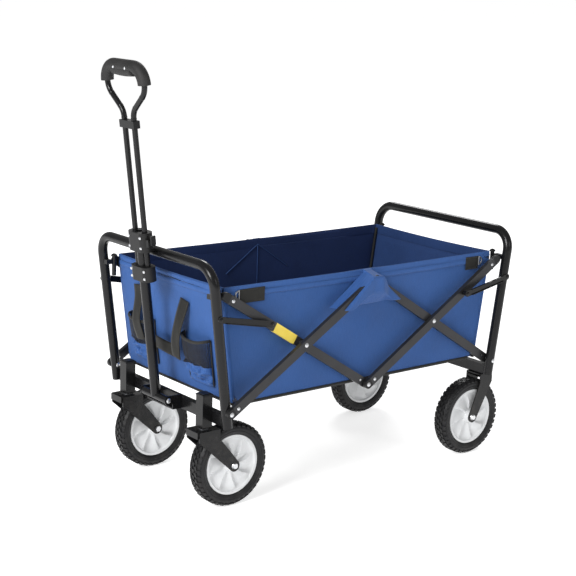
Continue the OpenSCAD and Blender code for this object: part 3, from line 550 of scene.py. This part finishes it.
def side_cloth(side, word):
    """One long side of the basket, blue outside and lined inside."""
    def place(u, v):
        z = mix(FLOOR_Z, TOP_Z, v)
        along = (2 * u - 1)
        x = MID + along * reach(z)
        edge = min(1.0, 6 * (1 - abs(along))) * min(1.0, 5 * v + 0.1)
        inward = 0.0035 * math.sin(math.pi * v) * (1 - along * along)
        y = CLOTH_Y - inward + min(0.0, wrinkle(x, z, side * 3.1, 0.0036) * edge)
        corner = smoothstep(0.93, 1.0, abs(along)) * (1 - smoothstep(0.0, 0.16, v))
        z += 0.016 * corner * corner
        z -= 0.0022 * math.sin(math.pi * (1 - abs(along))) * v
        return Vector((x, side * y, z))

    # The lining face carries the painted shade of the basket's inside.
    obj = cloth_grid("side_cloth_" + word, 150, 44, (2 * REACH_TOP, TOP_Z - FLOOR_Z),
                     place, [blue_cloth, lining] if side == NEAR else [lining, blue_cloth])
    two_faced(obj, CLOTH)
    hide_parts("side_panel_" + word)
    crumples(obj)
    return obj


def hub_flap(side, word):
    """The three-cornered cover that hides the upper hub and lets the bars out below."""
    tip_half, foot_half = 0.012, 0.106
    top = TOP_Z - 0.0006

    def place(u, v):
        along = 2 * u - 1
        z = mix(FLAP_LOW, top, v)
        half = mix(foot_half, tip_half, min(1.0, (z - FLAP_LOW) / 0.069))
        x = along * half
        over_bar = smoothstep(-0.016, -0.003, abs(x) - between_bars(z))
        lift = mix(swell(z), 1.0, over_bar)
        lift *= (1 - smoothstep(0.82, 1.0, abs(along))) * (1 - smoothstep(0.4845, TOP_Z, z))
        y = mix(CLOTH_Y + 0.0016, hub_front(x), lift)
        y += 0.0012 * noise.noise(Vector((along * 2.2, v * 2.0, side))) * lift
        return Vector((MID + x, side * y, z))

    obj = cloth_grid("hub_flap_" + word, 120, 44, (0.22, top - FLAP_LOW), place,
                     [flap_cloth])
    thicken(obj, CLOTH)
    crumples(obj)
    return obj


def end_cloth(end, word, body):
    """A short end of the basket, which leans and rides with its own frame."""
    half = CLOTH_Y - 0.0016

    def place(u, v):
        z = mix(FLOOR_Z, TOP_Z, v)
        along = 2 * u - 1
        bulge = 0.004 * math.sin(math.pi * v) * (1 - along ** 4)
        hem = 0.0008 * (1 - smoothstep(0.868, 0.882, v)) - 0.0008
        x = reach(z) + 0.0015 + bulge - hem
        x += wrinkle(along * 0.2, z, end * 5.7, 0.0042) * (1 - along ** 6) * (1 - v ** 8)
        dip = 0.003 * (1 - along * along) * v
        return Vector((MID + end * x, along * half, z - dip))

    # The inner face takes the darker blue of painted shade.
    faces = [blue_cloth, shaded_inner_cloth] if end > 0 else [shaded_inner_cloth, blue_cloth]
    obj = cloth_grid("end_cloth_" + word, 90, 60, (2 * half, TOP_Z - FLOOR_Z), place, faces)
    two_faced(obj, CLOTH)
    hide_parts(word + "_panel")
    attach(obj, body)
    return obj


def floor_cloth():
    """The floor, with shallow grooves where its boards meet and a bound underside."""
    half = CLOTH_Y - 0.0022
    length = REACH_LOW + 0.0005

    def place(u, v):
        along = 2 * u - 1
        fold = abs(along * 2 - round(along * 2))
        groove = 0.0016 * (1 - smoothstep(0.0, 0.035, fold))
        z = FLOOR_Z + 0.0032 - groove
        z += wrinkle(along, v, 9.0, 0.0009)
        return Vector((MID + along * length, (2 * v - 1) * half, z))

    obj = cloth_grid("floor_cloth", 160, 40, (2 * length, 2 * half), place,
                     [lining, binding])
    thicken(obj, 2.4 * MM, -1.0).modifiers[0].material_offset = 1
    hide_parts("floor_panel")
    crumples(obj)
    return obj


def hem_band(name, start, end, drop, side_dir, crumple, body, inside):
    """The folded top edge: a flattened roll of cloth with its sewn step."""
    start, end = Vector(start), Vector(end)
    length = (end - start).length

    def place(u, v):
        turn = 2 * math.pi * v
        centre = start.lerp(end, u) - Vector((0, 0, 0.0125 + drop * math.sin(math.pi * u)))
        out = 0.0017 * math.cos(turn)
        up = 0.0128 * math.copysign(abs(math.sin(turn)) ** 0.5, math.sin(turn))
        wave = 0.0006 * noise.noise(Vector((u * 9, v, drop * 90)))
        return centre + side_dir * (out + wave) + Vector((0, 0, up))

    obj = cloth_grid(name, 40, 20, (length, 0.052), place, [hem_cloth, inside],
                     pick=lambda u, v: 1 if 0.25 < v < 0.75 else 0)
    bm = bmesh.new()
    bm.from_mesh(obj.data)
    bmesh.ops.remove_doubles(bm, verts=bm.verts[:], dist=1e-6)
    bmesh.ops.holes_fill(bm, edges=[e for e in bm.edges if e.is_boundary], sides=0)
    bmesh.ops.recalc_face_normals(bm, faces=bm.faces[:])
    bm.to_mesh(obj.data)
    bm.free()
    if crumple:
        crumples(obj)
    else:
        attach(obj, body)
    return obj


def hems():
    top = TOP_Z + 0.0012
    for side, word in ((NEAR, "near"), (FAR, "far")):
        y = side * CLOTH_Y
        # The inner half of each side hem is the lining, with its painted shade.
        hem_band("side_hem_" + word, (MID - REACH_TOP, y, top), (MID + REACH_TOP, y, top),
                 0.0022, Vector((0, side, 0)), True, None, lining)
    for end, word, body in ((-1, "front", "front_end"), (1, "rear", "rear_end")):
        x = MID + end * (reach(TOP_Z - 0.012) + 0.0015)
        hem_band("end_hem_" + word, (x, -CLOTH_Y, top), (x, CLOTH_Y, top), 0.003,
                 # The inner half of each end hem takes the same painted shade.
                 Vector((end, 0, -end * 0.13)), False, body, shaded_inner_cloth)


def piping():
    """Black bound edges along the bottom, black tubes up the inside corners, blue seams outside
    them.
    """
    for side, word in ((NEAR, "near"), (FAR, "far")):
        y = side * (CLOTH_Y + 0.0008)
        points = [(MID + 0.945 * mix(-1, 1, i / 60) * reach(FLOOR_Z), y, FLOOR_Z)
                  for i in range(61)]
        obj = tube("floor_piping_" + word, [points], 2.2 * MM, binding, 3.4 * MM)
        crumples(obj)
    for end, word, body in ((-1, "front", "front_end"), (1, "rear", "rear_end")):
        steps = [mix(FLOOR_Z + 0.012, TOP_Z - 0.006, i / 20) for i in range(21)]
        seams = [[(MID + end * (reach(z) + 0.0012), side * (CLOTH_Y - 0.0002), z)
                  for z in steps] for side in (NEAR, FAR)]
        # Black tubes up the inside corners, darker than the lining beside them.
        inside = [[(MID + end * (reach(z) - 0.0045), side * (CLOTH_Y - 0.0065), z)
                   for z in steps] for side in (NEAR, FAR)]
        low = MID + end * (reach(FLOOR_Z) + 0.002)
        inside.append([(low, CLOTH_Y * (-1 + i / 10), FLOOR_Z) for i in range(21)])
        for name, paths, radius, material in (("corner_seams_", seams, 1.9 * MM, seam_cloth),
                                              ("inside_black_tubes_", inside, 3.0 * MM, binding)):
            obj = tube(name + word, paths, radius, material, up=Vector((1, 0.02, 0)))
            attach(obj, body)


def ribbon(name, points, across, width, material, body=None, crumple=False,
           slack=0.0006):
    """A flat strap of webbing through the points; across is the direction of its width."""
    points = [Vector(p) for p in points]
    lengths = [0.0]
    for a, b in zip(points, points[1:]):
        lengths.append(lengths[-1] + (b - a).length)
    total = lengths[-1]
    across = Vector(across).normalized()

    def at(distance):
        for i in range(len(points) - 1):
            if distance <= lengths[i + 1] + 1e-9:
                share = (distance - lengths[i]) / (lengths[i + 1] - lengths[i])
                return points[i].lerp(points[i + 1], share)
        return points[-1]

    def place(u, v):
        centre = at(u * total)
        wave = slack * math.sin(9 * u + 4 * v)
        ahead = at(min(total, u * total + 0.002)) - at(max(0.0, u * total - 0.002))
        normal = ahead.cross(across).normalized()
        return centre + across * (v - 0.5) * width + normal * wave

    obj = cloth_grid(name, 40, 6, (total, width), place, [material])
    thicken(obj, 1.7 * MM)
    if crumple:
        crumples(obj)
    else:
        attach(obj, body)
    return obj


def front_face(y, z, out):
    """A point on the front cloth, out metres in front of it."""
    along = y / CLOTH_Y
    v = (z - FLOOR_Z) / (TOP_Z - FLOOR_Z)
    bulge = 0.004 * math.sin(math.pi * v) * (1 - along ** 4)
    return (MID - (reach(z) + 0.003 + bulge + out), y, z)


def front_straps():
    """Two hanging straps, the band between them, all sewn to the front cloth."""
    steps = [i / 12 for i in range(13)]
    far_path = [front_face(mix(0.120, 0.090, t ** 1.5), mix(0.444, 0.326, t),
                           0.003 + 0.024 * smoothstep(0.1, 0.75, t)) for t in steps]
    near_path = [front_face(mix(-0.064, -0.036, t ** 1.4), mix(0.446, 0.312, t),
                            0.003 + 0.022 * math.sin(math.pi * t * 0.72)) for t in steps]
    band = [front_face(mix(0.096, -0.030, t), mix(0.338, 0.322, t),
                       0.012 + 0.006 * math.sin(math.pi * t)) for t in steps]
    jobs = (("strap_far", far_path, (0, 1, -0.1), 0.031),
            ("strap_near", near_path, (0, 1, 0.2), 0.030),
            ("strap_cross", band, (0, 0.12, 1), 0.027))
    made = [ribbon(name, path, across, width, webbing, "front_end")
            for name, path, across, width in jobs]
    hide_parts("front_straps")


def side_patches():
    """Webbing anchors for the D-rings, sewn to the side cloth near each corner."""
    for side, word in ((NEAR, "near"), (FAR, "far")):
        y = side * (CLOTH_Y + 0.0024)
        for low, high, end in ((-0.352, -0.287, "front"), (0.312, 0.352, "rear")):
            points = [(MID + mix(low, high, i / 8), y, TOP_Z - 0.022) for i in range(9)]
            ribbon("ring_patch_%s_%s" % (end, word), points, (0, 0, 1), 0.030, webbing,
                   crumple=True, slack=0.0002)


def pocket(side, word):
    """Net cup pocket with a bellows front and a wrinkled cloth bottom."""
    y_mid, half = (0.112 if side == FAR else -0.099), 0.047
    low, high = FLOOR_Z + 0.026, FLOOR_Z + 0.129

    def place(u, v):
        along = 2 * u - 1
        z = mix(low, high, v)
        round_out = (1 - along ** 4) ** 0.5 if abs(along) < 1 else 0.0
        belly = 0.020 * (0.35 + 0.65 * math.sin(math.pi * min(1.0, 0.16 + 0.84 * v) * 0.62))
        gather = 0.4 + 0.6 * smoothstep(0.0, 0.3, v)
        out = 0.0022 + belly * round_out * gather
        crease = (1 - smoothstep(0.38, 0.55, v)) * round_out
        folds = (noise.noise(Vector((along * 1.5 + v * 2.2, v * 6.5, side * 2.0)))
                 + 0.4 * noise.noise(Vector((along * 3.4, v * 13.0 - along * 2.0, side))))
        out += 0.019 * crease * folds * smoothstep(0.0, 0.12, v)
        top_dip = 0.008 * (1 - along * along) * smoothstep(0.6, 1.0, v)
        x, y, _ = front_face(y_mid + along * half * mix(0.9, 1.0, v), z, out)
        return Vector((x, y, z - top_dip))

    obj = cloth_grid("cup_pocket_" + word, 72, 72, (0.115, high - low), place,
                     [net, pouch_cloth], pick=lambda u, v: 1 if v < 0.42 else 0)
    thicken(obj, 0.8 * MM)
    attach(obj, "front_end")
    rim = [place(i / 24, 1.0) for i in range(25)]
    edge = tube("pocket_edge_" + word, [rim], 2.2 * MM, binding, 3.6 * MM)
    seam = [place(0.0, 1 - i / 16) for i in range(17)]
    seam_other = [place(1.0, i / 16) for i in range(17)]
    sides = tube("pocket_seams_" + word, [seam, seam_other], 1.8 * MM, binding,
                 up=Vector((1, 0, 0)))
    for piece in (edge, sides):
        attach(piece, "front_end")
    return obj


def inner_seams():
    """The sewn outline of each hub cover, seen on the lining inside the basket."""
    for side, word in ((NEAR, "near"), (FAR, "far")):
        y = side * (CLOTH_Y - 0.0044)
        apex = Vector((MID, y, TOP_Z - 0.014))
        feet = [Vector((MID + foot, y - side * 0.001, TOP_Z - 0.078)) for foot in (-0.095, 0.095)]
        feet.append(Vector((MID, y - side * 0.002, FLOOR_Z + 0.02)))
        paths = [[apex.lerp(foot, i / 12) for i in range(13)] for foot in feet]
        obj = tube("lining_seams_" + word, paths, 0.9 * MM, lining_seam, 1.2 * MM, 8,
                   up=Vector((0.02, 1, 0)))
        crumples(obj)


# ---------------------------------------------------------------- wheels

def wheel_frame(node):
    low, high = box_of(node)
    return (low + high) / 2, (high - low)


def build_tyre(place, word, body):
    """A tyre with rounded shoulders, ringed walls and rows of tread blocks."""
    centre, size = wheel_frame("%s_tyre_%s" % (place, word))
    radius, half = size.z / 2, size.y / 2
    seat = 0.0675
    base = radius - 0.0026
    profile = [(seat, -half * 0.72), (seat + 0.003, -half * 0.90), (seat + 0.008, -half * 0.97),
               (seat + 0.0095, -half * 0.93), (seat + 0.011, -half * 0.985),
               (base - 0.009, -half * 0.99), (base - 0.004, -half * 0.86),
               (base - 0.001, -half * 0.62), (base, -half * 0.3), (base, half * 0.3),
               (base - 0.001, half * 0.62), (base - 0.004, half * 0.86),
               (base - 0.009, half * 0.99), (seat + 0.011, half * 0.985),
               (seat + 0.0095, half * 0.93), (seat + 0.008, half * 0.97),
               (seat + 0.003, half * 0.90), (seat, half * 0.72)]
    bm = bmesh.new()
    verts = [bm.verts.new((r, y, 0)) for r, y in profile]
    edges = [bm.edges.new(pair) for pair in zip(verts, verts[1:] + verts[:1])]
    bmesh.ops.spin(bm, geom=verts + edges, cent=(0, 0, 0), axis=(0, 1, 0),
                   angle=2 * math.pi, steps=96, use_merge=True, use_duplicate=False)
    bmesh.ops.remove_doubles(bm, verts=bm.verts[:], dist=1e-6)
    rows = ((-0.80, 0.0, 0.0068, 0.0030), (-0.42, 0.5, 0.0062, 0.0), (0.0, 0.0, 0.0058, 0.0),
            (0.42, 0.5, 0.0062, 0.0), (0.80, 0.0, 0.0068, 0.0030))
    blocks_round = 40
    for share, phase, width, drop in rows:
        for i in range(blocks_round):
            angle = 2 * math.pi * (i + phase) / blocks_round
            block = bmesh.ops.create_cube(bm, size=1.0)["verts"]
            tilt = -0.62 * (1 if share > 0 else -1) if drop else 0.0
            reach_out = radius - 0.0016 - drop * 1.05
            turn = (Matrix.Rotation(angle, 4, "Y")
                    @ Matrix.Translation((0, share * half, reach_out - 0.0012))
                    @ Matrix.Rotation(tilt, 4, "X")
                    @ Matrix.Rotation(0.3 if phase else -0.2, 4, "Z")
                    @ Matrix.Diagonal((0.0088, width, 0.0052, 1)))
            bmesh.ops.transform(bm, matrix=turn, verts=block)
            for vert in block:
                away = math.hypot(vert.co.x, vert.co.z)
                if away > radius:
                    vert.co.x *= radius / away
                    vert.co.z *= radius / away
                vert.co.y = max(-half, min(half, vert.co.y))
    bmesh.ops.recalc_face_normals(bm, faces=bm.faces[:])
    bmesh.ops.translate(bm, verts=bm.verts[:], vec=centre)
    obj = finish_mesh("tyre_%s_%s" % (place, word), bm, [tyre_rubber])
    obj.data.set_sharp_from_angle(angle=math.radians(38))
    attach(obj, body)
    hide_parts("%s_tyre_%s" % (place, word))


def build_rim(place, word, body):
    """White moulded disc with eight swept petals, a raised rim lip and a hub boss."""
    centre, size = wheel_frame("%s_rim_%s" % (place, word))
    lip, half = size.z / 2, 0.0148
    hub_r, hub_half = 0.0150, size.y / 2
    petals, bore = 8, 0.0041
    profile = [(bore, -hub_half), (hub_r - 0.002, -hub_half), (hub_r, -hub_half + 0.002),
               (hub_r + 0.0005, -0.0125), (hub_r + 0.002, -0.0105)]
    inner, outer = hub_r + 0.002, lip - 0.0075
    steps = 10
    profile += [(mix(inner, outer, i / steps), -0.0105) for i in range(1, steps + 1)]
    profile += [(lip - 0.0062, -0.0122), (lip - 0.0048, -half), (lip, -half)]
    mirrored = [(r, -y) for r, y in reversed(profile)]
    ring = profile + mirrored
    bm = bmesh.new()
    verts = [bm.verts.new((r, y, 0)) for r, y in ring]
    edges = [bm.edges.new(pair) for pair in zip(verts, verts[1:] + verts[:1])]
    bmesh.ops.spin(bm, geom=verts + edges, cent=(0, 0, 0), axis=(0, 1, 0),
                   angle=2 * math.pi, steps=petals * 18, use_merge=True,
                   use_duplicate=False)
    bmesh.ops.remove_doubles(bm, verts=bm.verts[:], dist=1e-6)
    for vert in bm.verts:
        r = math.hypot(vert.co.x, vert.co.z)
        if not inner < r < outer + 0.0005:
            continue
        share = (r - inner) / (outer - inner)
        face = 1 if vert.co.y > 0 else -1
        angle = math.atan2(vert.co.z, vert.co.x) * face
        phase = (angle * petals / (2 * math.pi) + 0.32 * share) % 1.0
        ramp = phase / 0.86 if phase < 0.86 else (1 - phase) / 0.14
        depth = 0.0084 * ramp * math.sin(math.pi * min(1.0, share * 1.02)) ** 0.45
        dish = 0.0022 * math.sin(math.pi * share)
        vert.co.y -= face * (depth - dish)
    bmesh.ops.recalc_face_normals(bm, faces=bm.faces[:])
    bmesh.ops.translate(bm, verts=bm.verts[:], vec=centre)
    obj = finish_mesh("rim_%s_%s" % (place, word), bm, [white_plastic])
    obj.data.set_sharp_from_angle(angle=math.radians(32))
    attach(obj, body)
    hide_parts("%s_rim_%s" % (place, word))


# ---------------------------------------------------------------- small hard trim

HANDLE_LEAN = math.radians(7)
HANDLE_UP = Vector((-math.sin(HANDLE_LEAN), 0, math.cos(HANDLE_LEAN)))
HANDLE_AHEAD = Vector((-math.cos(HANDLE_LEAN), 0, -math.sin(HANDLE_LEAN)))
HANDLE_PIVOT = Vector(RECORD_JOINTS["handle_swing"]["pos_m"])
PIVOT_HEIGHT, GRIP_RADIUS = 0.222, 0.0155
GRIP_UP = (box_of("handle_grip")[1].z - PIVOT_HEIGHT) / math.cos(HANDLE_LEAN) - GRIP_RADIUS


def screw_head(bm, at, outward, radius=0.0034, height=0.0016):
    outward = Vector(outward).normalized()
    made = bmesh.ops.create_cone(bm, cap_ends=True, segments=20, radius1=radius,
                                 radius2=radius * 0.72, depth=height)["verts"]
    turn = Vector((0, 0, 1)).rotation_difference(outward).to_matrix().to_4x4()
    bmesh.ops.transform(bm, matrix=Matrix.Translation(Vector(at)) @ turn, verts=made)


def handle_screws():
    """Round-headed screws on the two blocks and the grip."""
    jobs = (("block_screws", "handle_arm", 0.0161, (0.340, 0.362), 0.021),
            ("slider_screws", "handle_slider", 0.0161, (0.273, 0.289), 0.024))
    for name, body, out, heights, y in jobs:
        bm = bmesh.new()
        for height in heights:
            for side in (NEAR, FAR):
                at = (HANDLE_PIVOT + HANDLE_UP * height + HANDLE_AHEAD * out
                      + Vector((0, side * y, 0)))
                screw_head(bm, at, HANDLE_AHEAD)
        obj = finish_mesh(name, bm, [zinc])
        obj.data.set_sharp_from_angle(angle=math.radians(30))
        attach(obj, body)
    bm = bmesh.new()
    for y in (-0.022, 0.022):
        at = HANDLE_PIVOT + HANDLE_UP * GRIP_UP + HANDLE_AHEAD * 0.0134 + Vector((0, y, 0))
        screw_head(bm, at, HANDLE_AHEAD)
    obj = finish_mesh("grip_screws", bm, [zinc])
    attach(obj, "handle_slider")


def grip_swell():
    """The finger swell under the middle of the grip."""
    half = 0.036
    points = []
    for i in range(25):
        y = mix(-half, half, i / 24)
        below = 0.0045 + 0.0022 * math.cos(y / half * 1.5)
        points.append(HANDLE_PIVOT + HANDLE_UP * (GRIP_UP - below) + Vector((0, y, 0)))
    obj = tube("grip_swell", [points], 0.0128, grip_rubber, 0.0128, 20)
    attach(obj, "handle_slider")


# ---------------------------------------------------------------- studio

def studio():
    """A white sweep under a soft key from the front, so black paint keeps its depth."""
    scene = bpy.context.scene
    scene.view_settings.view_transform = "Standard"
    world = bpy.data.worlds.new("studio")
    scene.world = world
    world.use_nodes = True
    background = world.node_tree.nodes["Background"]
    background.inputs["Color"].default_value = (1, 1, 1, 1)
    w = Wiring(world.node_tree)
    seen = w.node("ShaderNodeLightPath").outputs["Is Camera Ray"]
    room_light = 0.37
    w.link(w.math("MULTIPLY_ADD", seen, 1 - room_light, room_light),
           background.inputs["Strength"])
    bm = bmesh.new()
    bmesh.ops.create_grid(bm, x_segments=1, y_segments=1, size=40)
    floor_material, _, shader = surface("pale floor")
    shader.inputs["Base Color"].default_value = (0.9, 0.9, 0.9, 1)
    shader.inputs["Roughness"].default_value = 1.0
    shader.inputs["Specular IOR Level"].default_value = 0.0
    shader.inputs["Emission Color"].default_value = (1, 1, 1, 1)
    shader.inputs["Emission Strength"].default_value = 0.67
    floor = finish_mesh("studio_floor", bm, [floor_material])
    lights = (("key", (-4.0, -1.1, 2.6), 1.6, 190), ("fill", (0.9, -3.6, 1.9), 1.2, 12),
              ("back", (2.2, 2.6, 3.0), 1.4, 50))
    for name, place, size, power in lights:
        data = bpy.data.lights.new(name, "AREA")
        data.size = size
        data.energy = power
        lamp = bpy.data.objects.new(name, data)
        lamp.location = place
        aim = Vector((0, 0, 0.35)) - Vector(place)
        lamp.rotation_euler = aim.to_track_quat("-Z", "Y").to_euler()
        scene.collection.objects.link(lamp)


def camera():
    """A long lens a little above the basket, off the near front corner."""
    distance = 3.310
    azimuth, elevation, roll = (math.radians(a) for a in (-38.893, 13.311, 1.921))
    back = Vector((math.sin(azimuth) * math.cos(elevation),
                   -math.cos(azimuth) * math.cos(elevation), math.sin(elevation)))
    right = Vector((math.cos(azimuth), math.sin(azimuth), 0))
    up = back.cross(right)
    turned = right * math.cos(roll) + up * math.sin(roll)
    upright = -right * math.sin(roll) + up * math.cos(roll)
    data = bpy.data.cameras.new("camera")
    data.lens = 87.87
    data.shift_x = 0.0085
    data.shift_y = 0.0213
    eye = bpy.data.objects.new("camera", data)
    target = Vector((MID - 0.0348, 0.0474, 0.3785))
    matrix = Matrix((turned, upright, back)).transposed().to_4x4()
    matrix.translation = target + back * distance
    eye.matrix_world = matrix
    bpy.context.scene.collection.objects.link(eye)
    bpy.context.scene.camera = eye


studio()
camera()
dress_cad_nodes()
for side, word in ((NEAR, "near"), (FAR, "far")):
    side_cloth(side, word)
    hub_flap(side, word)
end_cloth(-1, "front", "front_end")
end_cloth(1, "rear", "rear_end")
floor_cloth()
hems()
piping()
inner_seams()
front_straps()
side_patches()
pockets = [pocket(NEAR, "near"), pocket(FAR, "far")]
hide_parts("cup_pockets")
for word in ("near", "far"):
    for build in (build_tyre, build_rim):
        for place in ("front", "rear"):
            build(place, word, "%s_wheel_%s" % (place, word))
handle_screws()
grip_swell()
